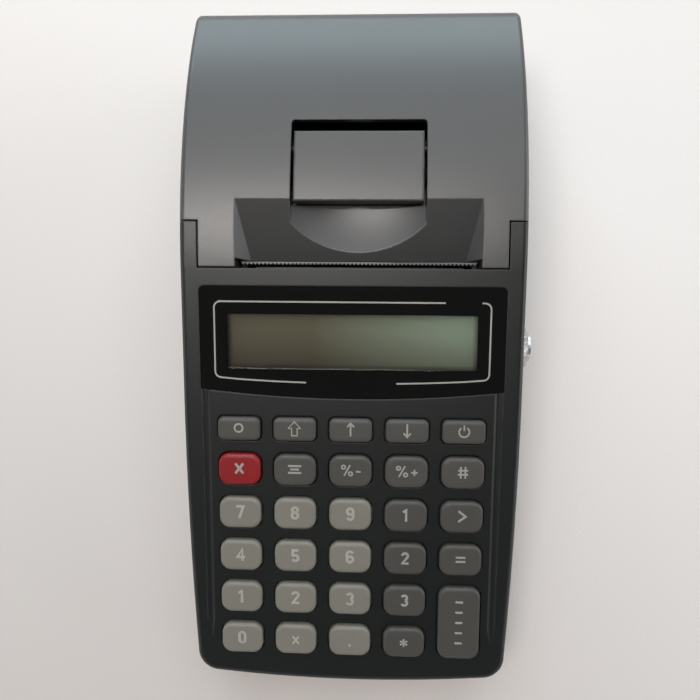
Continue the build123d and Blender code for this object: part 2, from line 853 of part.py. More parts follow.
# ================================ PRINTER =======================================================
roller_left = mechanism_x - platen_length / 2
roller_right = mechanism_x + platen_length / 2
plates = [(frame_left, frame_left + frame_plate), (frame_right - frame_plate, frame_right)]
frame_front_y = platen_y - frame_front_run
frame_rear_y = platen_y + frame_rear_run
frame_top = platen_height + frame_above_axis
notch_radius = bushing_radius + running_clearance
gear_outer_x = hanger_left - gear_width - gear_gap
gear_span = (gear_outer_x, gear_outer_x + gear_width)
idler_angle = atan2(platen_height - hinge_height, platen_y - hinge_y) + pi / 2
idler_reach = gear_module * (platen_teeth + idler_teeth) / 2
idler_y = platen_y + idler_reach * cos(idler_angle)
idler_z = platen_height + idler_reach * sin(idler_angle)
motor_reach = gear_module * (idler_teeth + pinion_teeth) / 2
motor_y = idler_y + motor_reach * cos(radians(pinion_angle))
motor_z = idler_z + motor_reach * sin(radians(pinion_angle))
head_rear_y = platen_y - platen_radius - head_gap
head_front_y = head_rear_y - head_thickness
cross_y = frame_front_y + spring_room  # cross plate behind the print head's spring
head_left = mechanism_x - head_width / 2
head_right = mechanism_x + head_width / 2

with BuildPart() as printer_frame:
    cuboid(
        (frame_left, frame_right), (frame_front_y, frame_rear_y),
        (frame_floor_z, frame_floor_z + frame_plate),
    )
    cuboid(
        (frame_left, frame_right), (cross_y, cross_y + frame_plate),
        (head_bottom_z, frame_top - frame_plate),
    )
    for span in plates:
        plate_x(
            [
                (frame_front_y, frame_floor_z),
                (frame_front_y, head_bottom_z),
                (cross_y, frame_top - frame_plate),
                (head_front_y, frame_top),
                (frame_rear_y, frame_top),
                (frame_rear_y, frame_floor_z),
            ],
            span,
        )
        # open notch for the platen's bushing, relieved behind for the lid's swing
        bar_x(notch_radius, span, platen_y, platen_height, mode=Mode.SUBTRACT)
        plate_x(
            [
                (platen_y - notch_radius, platen_height),
                (platen_y - notch_radius, far),
                (platen_y + notch_radius + notch_relief, far),
                (platen_y + notch_radius + notch_relief, frame_top),
                (platen_y + notch_radius, platen_height),
            ],
            span,
            mode=Mode.SUBTRACT,
        )
    collar_end = gear_span[1] + arm_gap
    bar_x(idler_collar_radius, (collar_end, frame_left), idler_y, idler_z)
    bar_x(idler_stud_radius, (gear_span[0] - arm_gap, frame_left), idler_y, idler_z)
    bar_x(pinion_shaft_radius + arm_gap, plates[0], motor_y, motor_z, mode=Mode.SUBTRACT)
export(printer_frame.part, "printer_frame")

with BuildPart() as stepper_motor:
    bar_x(motor_radius, (plates[0][1], plates[0][1] + motor_length), motor_y, motor_z)
export(stepper_motor.part, "stepper_motor")

with BuildPart() as print_head:
    cuboid((head_left, head_right), (head_front_y, head_rear_y), (head_bottom_z, head_top_z))
    chamfer(print_head.edges().filter_by(Axis.X).group_by(Axis.Z)[-1], head_chamfer)
export(print_head.part, "print_head")

with BuildPart() as head_spring:
    spring_middle = (head_bottom_z + head_top_z) / 2
    spring_low = spring_middle - head_spring_half
    spring_high = spring_middle + head_spring_half
    spring_front = cross_y + frame_plate
    plate_x(
        [
            (spring_front, spring_low),
            (head_front_y, spring_middle),
            (spring_front, spring_high),
            (spring_front, spring_high - 2 * head_spring_strip),
            (head_front_y - 1.5 * head_spring_strip, spring_middle),
            (spring_front, spring_low + 2 * head_spring_strip),
        ],
        (mechanism_x - head_spring_half, mechanism_x + head_spring_half),
    )
export(head_spring.part, "head_spring")


def turn_to_mesh(turn, angle, teeth, next_teeth):
    """Turn of the next gear so that it meshes with a gear turned by `turn`."""
    offset_along = teeth * (turn - angle) / 2 + pi / 2
    return angle + pi - 2 * offset_along / next_teeth


def gear(teeth, turn, y, z):
    """A spur gear across the gear plane, with a tooth at the angle `turn`."""
    pitch_radius = gear_module * teeth / 2
    base_radius = pitch_radius * cos(radians(pressure_angle))
    root_radius = pitch_radius - 1.25 * gear_module
    tip_radius = pitch_radius + gear_module
    at_pitch = (pi * gear_module - gear_backlash) / (4 * pitch_radius)
    start = max(base_radius, root_radius)

    def half_angle(radius):
        """Half the width of a tooth at a radius, as an angle."""
        roll = acos(min(1.0, base_radius / radius))
        pitch_roll = radians(pressure_angle)
        return at_pitch + (tan(pitch_roll) - pitch_roll) - (tan(roll) - roll)

    flank = [start + (tip_radius - start) * step / 3 for step in range(4)]
    points = []
    for tooth in range(teeth):
        middle = turn + 2 * pi * tooth / teeth
        shape = [(root_radius, middle - half_angle(start))]
        shape += [(radius, middle - half_angle(radius)) for radius in flank]
        shape += [(radius, middle + half_angle(radius)) for radius in reversed(flank)]
        shape += [(root_radius, middle + half_angle(start))]
        points += [(y + r * cos(angle), z + r * sin(angle)) for r, angle in shape]
    unique = [point for index, point in enumerate(points) if point != points[index - 1]]
    plate_x(unique, gear_span)


platen_turn = idler_angle
idler_turn = turn_to_mesh(platen_turn, idler_angle, platen_teeth, idler_teeth)
pinion_turn = turn_to_mesh(idler_turn, radians(pinion_angle), idler_teeth, pinion_teeth)

with BuildPart() as platen_gear:
    gear(platen_teeth, platen_turn, platen_y, platen_height)
    bar_x(shaft_radius, gear_span, platen_y, platen_height, mode=Mode.SUBTRACT)
export(platen_gear.part, "platen_gear")

with BuildPart() as idler_gear:
    gear(idler_teeth, idler_turn, idler_y, idler_z)
    bar_x(
        idler_stud_radius + running_clearance, gear_span, idler_y, idler_z, mode=Mode.SUBTRACT
    )
export(idler_gear.part, "idler_gear")

with BuildPart() as motor_pinion:
    gear(pinion_teeth, pinion_turn, motor_y, motor_z)
    bar_x(pinion_shaft_radius, (gear_span[0], plates[0][1]), motor_y, motor_z)
export(motor_pinion.part, "motor_pinion")

with BuildPart() as platen_shaft:
    bar_x(shaft_radius, (gear_span[0], hanger_right + shaft_end), platen_y, platen_height)
export(platen_shaft.part, "platen_shaft")

with BuildPart() as platen_roller:
    bar_x(platen_radius, (roller_left, roller_right), platen_y, platen_height)
    bar_x(shaft_radius, (roller_left, roller_right), platen_y, platen_height, mode=Mode.SUBTRACT)
export(platen_roller.part, "platen_roller")

bushing_spans = [(hanger_left, plates[0][1]), (plates[1][0], hanger_right)]
with BuildPart() as platen_bushings:
    for span in bushing_spans:
        bar_x(bushing_radius, span, platen_y, platen_height)
        bar_x(
            shaft_radius + running_clearance, span, platen_y, platen_height, mode=Mode.SUBTRACT
        )
export(platen_bushings.part, "platen_bushings")


# ================================ LID ===========================================================
exit_half = exit_width / 2
exit_left = mechanism_x - exit_half
exit_right = mechanism_x + exit_half
exit_front_y = lid_front_y + exit_lip
exit_fall = tan(radians(exit_slope))
lean = tan(radians(exit_draft))
lever_half = lever_width / 2
opening_half = lever_half + lever_side_gap
lever_front_y = tray_top_y - lever_overhang
lever_rear_y = lever_front_y + lever_length
opening_rear_y = lever_rear_y + lever_rear_gap
pivot_y = lever_rear_y - lever_pivot_inset
pivot_z = roof_z(pivot_y) - lever_pivot_drop
shelf_top = pivot_z - lever_shelf_drop
scoop_y = tray_top_y - scoop_inset
scoop_low = tray_top_z - scoop_drop


def tray_z(y):
    """Height of the tray's floor plane."""
    return tray_top_z - (tray_top_y - y) * exit_fall


fall = radians(exit_slope)
blade_tip_y = exit_front_y - blade_reach
blade_plane = Plane(
    origin=(mechanism_x, blade_tip_y, tray_z(blade_tip_y) - blade_cover),
    x_dir=(1, 0, 0),
    z_dir=(0, -sin(fall), cos(fall)),
)

with BuildPart() as lid_block:
    # everything of the lid's outside, before it is hollowed
    cuboid(beyond, (lid_step_y, hinge_y), (lid_edge_z, far))
    skirt_edge = lid_block.edges().filter_by(Axis.X).group_by(Axis.Z)[0].sort_by(Axis.Y)[0]
    fillet(skirt_edge, lid_skirt_corner)
    # the rear lower edge is round about the hinge axis, so that it swings clear of the case
    cuboid(beyond, (hinge_y, far), (hinge_height, far))
    bar_x(hinge_inset, beyond, hinge_y, hinge_height)
    cuboid((-lid_half_tab, lid_half_tab), (lid_front_y, lid_step_y), (lid_tab_z, far))

with BuildPart() as tray_cut:
    tilt = atan2(roof_z(tray_top_y) - roof_z(exit_front_y), exit_length)
    cover_z = roof_z(exit_front_y) + tray_lift
    tray_plane = Plane(
        origin=(mechanism_x, exit_front_y, cover_z),
        x_dir=(1, 0, 0),
        z_dir=(0, -sin(tilt), cos(tilt)),
    )
    with BuildSketch(tray_plane):
        with Locations((0, exit_length / 2)):
            Rectangle(exit_width + 2 * tray_lift * lean, 3 * exit_length)
    extrude(amount=-2 * scoop_drop, taper=exit_draft)
    plate_x(
        [
            (lid_front_y - wall, tray_z(lid_front_y - wall)),
            (far, tray_z(far)),
            (lid_front_y - wall, far),
        ],
        beyond,
        mode=Mode.INTERSECT,
    )

with BuildPart() as scoop_cut:
    with Locations((mechanism_x, scoop_y, scoop_low + scoop_radius)):
        Sphere(scoop_radius)
    cuboid(
        (mechanism_x - opening_half, mechanism_x + opening_half),
        (exit_front_y, tray_top_y + pan_thickness),
        (scoop_low - 1, far),
        mode=Mode.INTERSECT,
    )

with BuildPart() as lever_opening:
    cuboid(
        (mechanism_x - opening_half, mechanism_x + opening_half),
        (lever_front_y - lid_gap, opening_rear_y),
        (tray_top_z - lever_opening_z, far),
    )
    fillet(lever_opening.edges().filter_by(Axis.Z).group_by(Axis.Y)[-1], opening_corner)

with BuildPart() as lid_inside:
    # pan under the tray, seen as a wedge that falls towards the front, and the scoop's bowl
    block_half = exit_half + pan_thickness
    pan_rear_y = tray_top_y + 2 * pan_thickness
    plate_x(
        [
            (lid_front_y + tab_wall / 2, tray_z(lid_front_y + tab_wall / 2) - pan_thickness),
            (pan_rear_y, tray_z(pan_rear_y) - pan_thickness),
            (pan_rear_y, far),
            (lid_front_y + tab_wall / 2, far),
        ],
        (mechanism_x - block_half, mechanism_x + block_half),
    )
    cuboid(
        (mechanism_x - opening_half - pan_thickness, mechanism_x + opening_half + pan_thickness),
        (exit_front_y + pan_thickness, pan_rear_y),
        (scoop_low - scoop_floor, scoop_low + scoop_drop),
    )
    # hangers that carry the platen's bushings
    hangers = (
        (hanger_left, hanger_left + arm_thickness),
        (hanger_right - arm_thickness, hanger_right),
    )
    for span in hangers:
        bar_x(hanger_radius, span, platen_y, platen_height)
        cuboid(
            span, (platen_y - hanger_radius, platen_y + hanger_radius),
            (platen_height, scoop_low + scoop_floor),
        )
    # cradle under the lever: two ears and a shelf
    cradle = opening_half + lever_ear
    for side in sides:
        near = mechanism_x + side * (opening_half + lever_ear / 2)
        cuboid(
            (near - lever_ear / 2, near + lever_ear / 2),
            (pivot_y - cradle_half, pivot_y + cradle_half),
            (shelf_top - lever_shelf, far),
        )
    cuboid(
        (mechanism_x - cradle, mechanism_x + cradle),
        (pivot_y - cradle_half, pivot_y + cradle_half),
        (shelf_top - lever_shelf, shelf_top),
    )
    # hinge bosses on the side walls
    for side in sides:
        boss = sorted((side * (ear_x + ear_thickness + arm_gap), side * (half_width - wall / 2)))
        bar_x(hinge_boss_radius, boss, hinge_y, hinge_height)

with BuildPart() as printer_lid:
    add(outer)
    add(lid_block.part, mode=Mode.INTERSECT)
    add(form_slice(inner, beyond, (lid_step_y + wall, far), (0, far)), mode=Mode.SUBTRACT)
    tab_inside = lid_half_tab - tab_wall
    add(
        form_slice(inner, (-tab_inside, tab_inside), (lid_front_y + tab_wall, far), (0, far)),
        mode=Mode.SUBTRACT,
    )
    add(form_slice(outer, beyond, (lid_front_y, far), (0, far)).intersect(lid_inside.part))
    add(tray_cut.part, mode=Mode.SUBTRACT)
    add(scoop_cut.part, mode=Mode.SUBTRACT)
    cuboid((exit_left, exit_right), (0, exit_front_y), (0, far), mode=Mode.SUBTRACT)
    add(lever_opening.part, mode=Mode.SUBTRACT)
    # slot for the cutter blade, below the tray's floor
    with BuildSketch(blade_plane):
        with Locations((0, blade_depth / 2)):
            Rectangle(blade_length, blade_depth)
    extrude(amount=-blade_thickness, mode=Mode.SUBTRACT)
    # room for the platen gear in the front wall, and the bores
    bar_x(
        gear_room, (gear_span[0] - arm_gap, gear_span[1] + arm_gap), platen_y, platen_height,
        mode=Mode.SUBTRACT,
    )
    bar_x(bushing_radius, (hanger_left, hanger_right), platen_y, platen_height, mode=Mode.SUBTRACT)
    bar_x(
        lever_stub_radius + running_clearance,
        (mechanism_x - cradle, mechanism_x + cradle),
        pivot_y,
        pivot_z,
        mode=Mode.SUBTRACT,
    )
    pin_bore = hinge_pin_radius + running_clearance
    bar_x(pin_bore, (-pin_end - pin_slack, pin_end + pin_slack), hinge_y, hinge_height, mode=Mode.SUBTRACT)
export(printer_lid.part, "printer_lid")

with BuildPart() as cutter_blade:
    with BuildSketch(blade_plane):
        with BuildLine():
            teeth = int(blade_length / tooth_pitch)
            step = blade_length / teeth
            left = -blade_length / 2
            edge = [(left, blade_depth), (left, tooth_depth)]
            for tooth in range(teeth):
                edge.append((left + step * (tooth + 0.5), 0))
                edge.append((left + step * (tooth + 1), tooth_depth))
            edge.append((-left, blade_depth))
            Polyline(*edge, close=True)
        make_face()
    extrude(amount=-blade_thickness)
export(cutter_blade.part, "cutter_blade")


# ================================ LEVER =========================================================
lever_span = (mechanism_x - lever_half, mechanism_x + lever_half)
with BuildPart() as lever_solid:
    add(form_slice(outer, lever_span, (lever_front_y, lever_rear_y), (0, far)))
    upper = lever_solid.edges().filter_by(lambda edge: edge.center().Z > tray_top_z - 1)
    fillet(upper, lever_edge)

with BuildPart() as lid_lever:
    add(lever_solid.part)
    # hollow below the plate, leaving the lip in front and an arm along each side
    cuboid(
        beyond, (lever_front_y, lever_front_y + lever_lip_length),
        (0, roof_z(lever_front_y) - lever_lip), mode=Mode.SUBTRACT,
    )
    inside = (lever_span[0] + lever_arm, lever_span[1] - lever_arm)
    behind = (lever_front_y + lever_lip_length, far)
    add(form_slice(inner, inside, behind, (0, far)), mode=Mode.SUBTRACT)
    cuboid(beyond, behind, (0, pivot_z + lever_hub_radius / 2), mode=Mode.SUBTRACT)
    bar_x(lever_hub_radius, lever_span, pivot_y, pivot_z)
    for side in sides:
        near = mechanism_x + side * (lever_half - lever_arm / 2)
        cuboid(
            (near - lever_arm / 2, near + lever_arm / 2),
            (pivot_y - lever_hub_radius, pivot_y + lever_hub_radius),
            (pivot_z, pivot_z + lever_arm_height),
        )
    stub = lever_half + lever_stub_length
    bar_x(lever_stub_radius, (mechanism_x - stub, mechanism_x + stub), pivot_y, pivot_z)
    lip_edge = lid_lever.edges().filter_by(Axis.X).group_by(Axis.Y)[0].sort_by(Axis.Z)[0]
    fillet(lip_edge, lever_edge)
export(lid_lever.part, "lid_lever")

with BuildPart() as lever_spring:
    bend = pivot_z - lever_hub_radius - running_clearance
    spring_half = cradle_half - spring_inset
    plate_x(
        [
            (pivot_y - spring_half, shelf_top),
            (pivot_y, bend),
            (pivot_y + spring_half, shelf_top),
            (pivot_y + spring_half - 2 * spring_strip, shelf_top),
            (pivot_y, bend - 1.2 * spring_strip),
            (pivot_y - spring_half + 2 * spring_strip, shelf_top),
        ],
        (mechanism_x - cradle_half, mechanism_x + cradle_half),
    )
export(lever_spring.part, "lever_spring")
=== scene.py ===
"""Looks for the ticket register: materials, printed legends, studio light and camera."""

import json
from math import cos, radians, sin

import bpy
from mathutils import Matrix, Vector


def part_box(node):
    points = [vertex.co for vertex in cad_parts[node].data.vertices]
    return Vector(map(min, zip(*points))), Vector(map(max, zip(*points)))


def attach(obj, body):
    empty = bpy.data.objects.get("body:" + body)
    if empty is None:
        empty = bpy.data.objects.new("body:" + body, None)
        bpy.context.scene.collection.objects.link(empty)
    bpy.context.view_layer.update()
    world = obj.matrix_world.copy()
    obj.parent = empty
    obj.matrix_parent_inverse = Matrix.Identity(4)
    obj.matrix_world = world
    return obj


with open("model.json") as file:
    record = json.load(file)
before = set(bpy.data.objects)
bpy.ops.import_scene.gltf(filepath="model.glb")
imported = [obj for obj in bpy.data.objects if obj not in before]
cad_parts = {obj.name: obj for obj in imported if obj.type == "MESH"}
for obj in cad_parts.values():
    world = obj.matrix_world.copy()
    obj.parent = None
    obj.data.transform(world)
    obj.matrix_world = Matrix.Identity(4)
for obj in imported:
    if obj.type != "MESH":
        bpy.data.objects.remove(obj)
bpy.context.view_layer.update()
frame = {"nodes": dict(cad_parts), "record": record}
nodes = frame["nodes"]
scene = bpy.context.scene
MM = 0.001

# ---- The keyboard slope, which carries every print ---------------------------------------------
SLOPE = radians(12.0)
SLOPE_UP = Vector((0, -sin(SLOPE), cos(SLOPE)))
SLOPE_RUN = Vector((0, cos(SLOPE), sin(SLOPE)))
SLOPE_TURN = Matrix((Vector((1, 0, 0)), SLOPE_RUN, SLOPE_UP)).transposed()
FRONT_Y = -93.85  # the slope's front edge, in mm
FRONT_Z = 21.68


def slope_point(run, lift=0.0):
    """A place on the keyboard slope, from its front edge, in mm."""
    return Vector((0, FRONT_Y, FRONT_Z)) * MM + SLOPE_RUN * run * MM + SLOPE_UP * lift * MM


def on_slope(middle):
    """The matrix that puts a flat drawing on the keyboard slope at a place."""
    return Matrix.Translation(middle) @ SLOPE_TURN.to_4x4()


# ---- Camera ----------------------------------------------------------------------------------
CAMERA_PLACE = (0.008039, -0.013736, 0.225035)
CAMERA_TURN = (3.8104, 2.5526, 0.8422)  # degrees
camera_data = bpy.data.cameras.new("camera")
camera_data.sensor_width = 36.0
camera_data.lens = 36.0
camera_data.clip_start = 0.01
camera = bpy.data.objects.new("camera", camera_data)
camera.location = CAMERA_PLACE
camera.rotation_euler = [radians(turn) for turn in CAMERA_TURN]
scene.collection.objects.link(camera)
scene.camera = camera
scene.view_settings.view_transform = "Standard"


# ---- Shader nodes ------------------------------------------------------------------------------
def new_material(name):
    """A node material, its tree and its Principled shader."""
    material = bpy.data.materials.new(name)
    material.use_nodes = True
    tree = material.node_tree
    return material, tree, tree.nodes["Principled BSDF"]


def set_shader(shader, **values):
    """Sets plain numbers on the shader's own sockets."""
    for name, value in values.items():
        shader.inputs[name.replace("_", " ")].default_value = value


def coordinates(tree, kind):
    """Texture coordinates: Object or Generated."""
    return tree.nodes.new("ShaderNodeTexCoord").outputs[kind]


def axes_of(tree, vector):
    """The X, Y and Z of a vector."""
    split = tree.nodes.new("ShaderNodeSeparateXYZ")
    tree.links.new(vector, split.inputs["Vector"])
    return split.outputs


def noise(tree, scale, detail=3.0, vector=None):
    """A noise texture, in object space unless a vector is given."""
    texture = tree.nodes.new("ShaderNodeTexNoise")
    texture.inputs["Scale"].default_value = scale
    texture.inputs["Detail"].default_value = detail
    if vector is None:
        vector = coordinates(tree, "Object")
    tree.links.new(vector, texture.inputs["Vector"])
    return texture.outputs["Fac"]


def span(tree, value, low, high, from_low=0.3, from_high=0.7):
    """Maps a texture value onto a range."""
    node = tree.nodes.new("ShaderNodeMapRange")
    node.inputs["From Min"].default_value = from_low
    node.inputs["From Max"].default_value = from_high
    node.inputs["To Min"].default_value = low
    node.inputs["To Max"].default_value = high
    tree.links.new(value, node.inputs["Value"])
    return node.outputs["Result"]


def calculate(tree, operation, first, second):
    """A Math node on two values, of which the second may be a plain number."""
    node = tree.nodes.new("ShaderNodeMath")
    node.operation = operation
    tree.links.new(first, node.inputs[0])
    if isinstance(second, float):
        node.inputs[1].default_value = second
    else:
        tree.links.new(second, node.inputs[1])
    return node.outputs["Value"]


def blend_colours(tree, factor, first, second):
    """A colour between two, by a texture value."""
    mix = tree.nodes.new("ShaderNodeMix")
    mix.data_type = "RGBA"
    mix.inputs["A"].default_value = (*first, 1)
    mix.inputs["B"].default_value = (*second, 1)
    tree.links.new(factor, mix.inputs["Factor"])
    return mix.outputs["Result"]


def multiply_colours(tree, first, second):
    """The product of two colours."""
    mix = tree.nodes.new("ShaderNodeMix")
    mix.data_type = "RGBA"
    mix.blend_type = "MULTIPLY"
    mix.inputs["Factor"].default_value = 1.0
    tree.links.new(first, mix.inputs["A"])
    tree.links.new(second, mix.inputs["B"])
    return mix.outputs["Result"]


def scaled(colour, factor):
    """A colour made lighter or darker."""
    return tuple(min(1.0, channel * factor) for channel in colour)


def add_bump(tree, shader, height, distance, edge=0.0):
    """Fine relief on a shader, and edges that look rounded off by a radius in metres."""
    bump = tree.nodes.new("ShaderNodeBump")
    if edge:
        bevel = tree.nodes.new("ShaderNodeBevel")
        bevel.samples = 4
        bevel.inputs["Radius"].default_value = edge
        tree.links.new(bevel.outputs["Normal"], bump.inputs["Normal"])
    bump.inputs["Strength"].default_value = 1.0
    bump.inputs["Distance"].default_value = distance
    tree.links.new(height, bump.inputs["Height"])
    tree.links.new(bump.outputs["Normal"], shader.inputs["Normal"])


# ---- Materials -------------------------------------------------------------------------------
MOULD_GRAIN = 0.00001  # heights of grain in metres, first of the spark-eroded moulds
LENS_GRAIN = 0.0000003
WRAP_GRAIN = 0.000001
INK_GRAIN = 0.000001
BRUSH_GRAIN = 0.000004
PAPER_GRAIN = 0.00004
MOULD_EDGE = 0.0005  # radius of the mouldings' edges, in metres
KEY_EDGE = 0.0011
PATCH_SCALE = 60  # scales of noise, per metre
SMEAR_SCALE = 2400
PANEL_SCALE = 300
PAPER_SCALE = 900
ALL_WAYS = (900, 900, 900)  # brush marks per metre on each axis
ALONG_X = (60, 1500, 1500)
ALONG_Y = (1500, 60, 1500)
GRAIN_ROUGHNESS = 0.04  # the grain moves a plastic's roughness by this much either way
ACRYLIC_IOR = 1.49
HAZE = 0.012
WHITE = (1.0, 1.0, 1.0)
PANEL_TINT_AND_PAINTED_LIGHT = (0.35, 0.92)  # share of the display's width in which its tint drifts and painted light brightens it towards the right
PANEL_PAINTED_SHADE = (0.12, 0.62)  # share of its height, from below, over which painted shade at its lower edge fades out
PANEL_SHADE_COLOUR = (0.50, 0.45, 0.45)
RIM_SPANS = {"X": (0.022, 0.040), "Y": (0.085, 0.145)}  # where the lens throws its shade on it
RIM_COLOUR = (0.40, 0.38, 0.38)


def plastic(
    name, colour, roughness, grain=MOULD_GRAIN, grain_scale=2800, mottle=0.06, edge=MOULD_EDGE,
    **extra
):
    """Moulded plastic or rubber with a fine grain and slight unevenness."""
    material, tree, shader = new_material(name)
    patches = span(tree, noise(tree, PATCH_SCALE, 4.0), 0.0, 1.0)
    tree.links.new(
        blend_colours(tree, patches, scaled(colour, 1 - mottle), scaled(colour, 1 + mottle)),
        shader.inputs["Base Color"],
    )
    fine = noise(tree, grain_scale, 2.0)
    tree.links.new(
        span(tree, fine, roughness - GRAIN_ROUGHNESS, roughness + GRAIN_ROUGHNESS),
        shader.inputs["Roughness"],
    )
    add_bump(tree, shader, fine, grain, edge)
    set_shader(shader, **extra)
    return material


def metal(name, colour, roughness, brush=ALL_WAYS):
    """Metal with brush marks that follow one direction."""
    material, tree, shader = new_material(name)
    stretch = tree.nodes.new("ShaderNodeMapping")
    stretch.inputs["Scale"].default_value = brush
    tree.links.new(coordinates(tree, "Object"), stretch.inputs["Vector"])
    marks = noise(tree, 1.0, 3.0, stretch.outputs["Vector"])
    tree.links.new(
        blend_colours(tree, span(tree, marks, 0, 1), scaled(colour, 0.9), scaled(colour, 1.08)),
        shader.inputs["Base Color"],
    )
    tree.links.new(
        span(tree, marks, roughness - 0.05, roughness + 0.07), shader.inputs["Roughness"]
    )
    add_bump(tree, shader, marks, BRUSH_GRAIN)
    set_shader(shader, Metallic=1.0)
    return material


def window_pane(name):
    """Clear plastic pane with a trace of handling haze."""
    material, tree, shader = new_material(name)
    set_shader(shader, IOR=ACRYLIC_IOR, Transmission_Weight=1.0)
    smear = noise(tree, SMEAR_SCALE, 2.0)
    tree.links.new(span(tree, smear, 0.0, HAZE), shader.inputs["Roughness"])
    tint = blend_colours(tree, span(tree, smear, 0, 1), (0.96, 0.97, 0.95), (0.97, 0.98, 0.96))
    tree.links.new(tint, shader.inputs["Base Color"])
    return material


def display_panel(name, left, right):
    """Unlit liquid-crystal panel, whose tint drifts across it, with painted light that brightens
    it towards the right and painted shade towards its lower edge.
    """
    material, tree, shader = new_material(name)
    axes = axes_of(tree, coordinates(tree, "Generated"))
    # painted light: the tint drifts and the panel is painted brighter towards the right
    colour = blend_colours(tree, span(tree, axes["X"], 0, 1, *PANEL_TINT_AND_PAINTED_LIGHT), left, right)
    # painted shade towards the display's lower edge
    lit = span(tree, axes["Y"], 0, 1, *PANEL_PAINTED_SHADE)
    shades = [blend_colours(tree, lit, PANEL_SHADE_COLOUR, WHITE)]
    for axis, ends in RIM_SPANS.items():
        inward = span(tree, calculate(tree, "PINGPONG", axes[axis], 0.5), 0, 1, *ends)
        shades.append(blend_colours(tree, inward, RIM_COLOUR, WHITE))
    for shade in shades:
        colour = multiply_colours(tree, colour, shade)
    tree.links.new(colour, shader.inputs["Base Color"])
    tree.links.new(span(tree, noise(tree, PANEL_SCALE), 0.46, 0.50), shader.inputs["Roughness"])
    set_shader(shader, Specular_IOR_Level=0.2)
    return material


PLASTICS = {
    # case_plastic is the lid's charcoal plastic written darker: painted shade on the keyboard
    # slope
    "case_plastic": {"colour": (0.0080, 0.0104, 0.0096), "roughness": 0.36},
    "lid_plastic": {
        "colour": (0.024, 0.0250, 0.0255), "roughness": 0.38, "Specular_IOR_Level": 1.0
    },
    "lever_plastic": {
        "colour": (0.024, 0.0245, 0.0245), "roughness": 0.38, "Specular_IOR_Level": 1.0
    },
    "lens_black": {
        "colour": (0.0040, 0.0042, 0.0040), "roughness": 0.07, "grain": LENS_GRAIN,
        "mottle": 0.1, "edge": 0.0,
    },
    "board_green": {"colour": (0.02, 0.11, 0.045), "roughness": 0.35, "grain_scale": 1500},
    "mat_rubber": {"colour": (0.42, 0.42, 0.40), "roughness": 0.6},
    "bay_plastic": {"colour": (0.028, 0.030, 0.031), "roughness": 0.5},
    "frame_plastic": {"colour": (0.035, 0.035, 0.037), "roughness": 0.48},
    "cell_wrap": {"colour": (0.06, 0.065, 0.075), "roughness": 0.28, "grain": WRAP_GRAIN},
    "foot_rubber": {"colour": (0.014, 0.014, 0.014), "roughness": 0.75, "grain_scale": 2600},
    "bushing_plastic": {"colour": (0.62, 0.61, 0.56), "roughness": 0.4},
    "roller_rubber": {"colour": (0.022, 0.022, 0.024), "roughness": 0.62, "grain_scale": 3200},
    "gear_plastic": {"colour": (0.68, 0.67, 0.62), "roughness": 0.42},
    "key_light": {
        "colour": (0.205, 0.200, 0.172), "roughness": 0.44, "mottle": 0.04, "edge": KEY_EDGE
    },
    "key_dark": {"colour": (0.064, 0.063, 0.058), "roughness": 0.44, "edge": KEY_EDGE},
    "key_red": {"colour": (0.25, 0.0075, 0.011), "roughness": 0.40, "edge": KEY_EDGE},
}
METALS = {
    # head_metal is very dark: partly the head's own dark finish, partly painted shade in the gap
    # under the cutter blade
    "head_metal": {"colour": (0.10, 0.10, 0.11), "roughness": 0.34, "brush": ALONG_X},
    "spring_steel": {"colour": (0.58, 0.58, 0.60), "roughness": 0.3, "brush": ALONG_Y},
    "motor_metal": {"colour": (0.50, 0.50, 0.52), "roughness": 0.35, "brush": (80, 1500, 1500)},
    "screw_steel": {"colour": (0.22, 0.22, 0.23), "roughness": 0.35},
    "jack_metal": {"colour": (0.72, 0.72, 0.73), "roughness": 0.22},
    "nut_metal": {"colour": (0.60, 0.60, 0.61), "roughness": 0.22},
    "pin_steel": {"colour": (0.65, 0.65, 0.66), "roughness": 0.24, "brush": ALONG_X},
    "blade_steel": {"colour": (0.80, 0.80, 0.78), "roughness": 0.30, "brush": ALONG_X},
    "shaft_steel": {"colour": (0.65, 0.65, 0.66), "roughness": 0.22, "brush": ALONG_X},
    "pinion_brass": {"colour": (0.70, 0.50, 0.22), "roughness": 0.3, "brush": ALONG_X},
}
MATERIALS = {name: plastic(name, **look) for name, look in PLASTICS.items()}
MATERIALS |= {name: metal(name, **look) for name, look in METALS.items()}
MATERIALS["window_clear"] = window_pane("window_clear")
# the right colour is much brighter: painted light on the display's right side
MATERIALS["lcd_panel"] = display_panel("lcd_panel", (0.160, 0.144, 0.096), (0.37, 0.46, 0.355))
for part in frame["record"]["subparts"]:
    for slot in nodes[part["node"]].material_slots:
        slot.material = MATERIALS[part["material_slot"]]

ink_light = plastic("ink_light", (0.42, 0.41, 0.37), 0.55, INK_GRAIN)
ink_grey = plastic("ink_grey", (0.36, 0.36, 0.33), 0.5, INK_GRAIN)
ink_frame = plastic("ink_frame", (0.40, 0.40, 0.37), 0.45, INK_GRAIN)

# ---- Floor -------------------------------------------------------------------------------------
FLOOR_SIZE = 6  # metres
PAPER_RUN = (0.4, 1.0, 0.0)  # the way in which the paper's painted shade gives way to brighter paper, from the front left
PAPER_SPAN = (-0.18, 0.08)  # where it does so, in metres
# painted shade and painted light of the paper
PAPER_SHADED = (0.60, 0.565, 0.545)
PAPER_LIT = (0.88, 0.855, 0.84)


